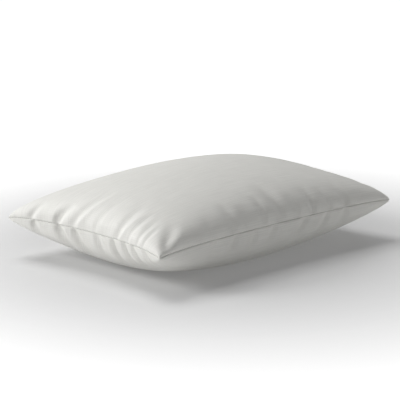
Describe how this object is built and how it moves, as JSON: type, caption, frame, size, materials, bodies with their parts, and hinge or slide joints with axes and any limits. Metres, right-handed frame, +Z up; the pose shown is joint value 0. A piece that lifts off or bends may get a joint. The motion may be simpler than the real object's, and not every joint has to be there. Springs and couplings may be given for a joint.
{
  "type": "bed pillow",
  "caption": "Rectangular bed pillow: knife-edge fabric cover with a zip along one long side, over a ticking inner pillow with fibre filling.",
  "frame": {"origin": "under the middle of the pillow, on the surface that it rests on", "axes": "+X along the long sides towards the end where the zip closes, +Y towards the zip side, +Z up through the crown"},
  "size_m": [0.684, 0.456, 0.18],
  "materials": {
    "cover_fabric": "matte",
    "ticking_fabric": "matte",
    "fibre_fill": "matte",
    "zip_tape": "matte",
    "zip_coil": "satin",
    "zip_metal": "satin",
    "thread": "matte",
    "label_fabric": "satin"
  },
  "bodies": {
    "pillow": {"cover_top_panel": "cover_fabric", "cover_bottom_panel": "cover_fabric", "cover_seam_thread": "thread", "zip_tape_upper": "zip_tape", "zip_tape_lower": "zip_tape", "zip_coil_upper": "zip_coil", "zip_coil_lower": "zip_coil", "zip_top_stops": "zip_metal", "zip_bottom_stop": "zip_metal", "zip_stitching_upper": "thread", "zip_stitching_lower": "thread", "zip_bar_tacks": "thread", "ticking_top_panel": "ticking_fabric", "ticking_bottom_panel": "ticking_fabric", "ticking_seam_thread": "thread", "ticking_closing_stitch": "thread", "fibre_filling": "fibre_fill", "care_label": "label_fabric"},
    "zip_slider": {"zip_slider_body": "zip_metal", "zip_slider_crown": "zip_metal", "zip_lock_spring": "zip_metal"},
    "zip_pull": {"zip_pull": "zip_metal"}
  },
  "joints": [
    {"name": "zip_travel", "type": "hinge", "parent": "pillow", "child": "zip_slider", "pos_m": [0, 4.1193, 0.09], "axis": [0, 0, -1], "range_deg": [0, 7.97]},
    {"name": "pull_flip", "type": "hinge", "parent": "zip_slider", "child": "zip_pull", "pos_m": [0.27145, 0.2243, 0.09], "axis": [0, 0, -1], "range_deg": [0, 180]}
  ]
}
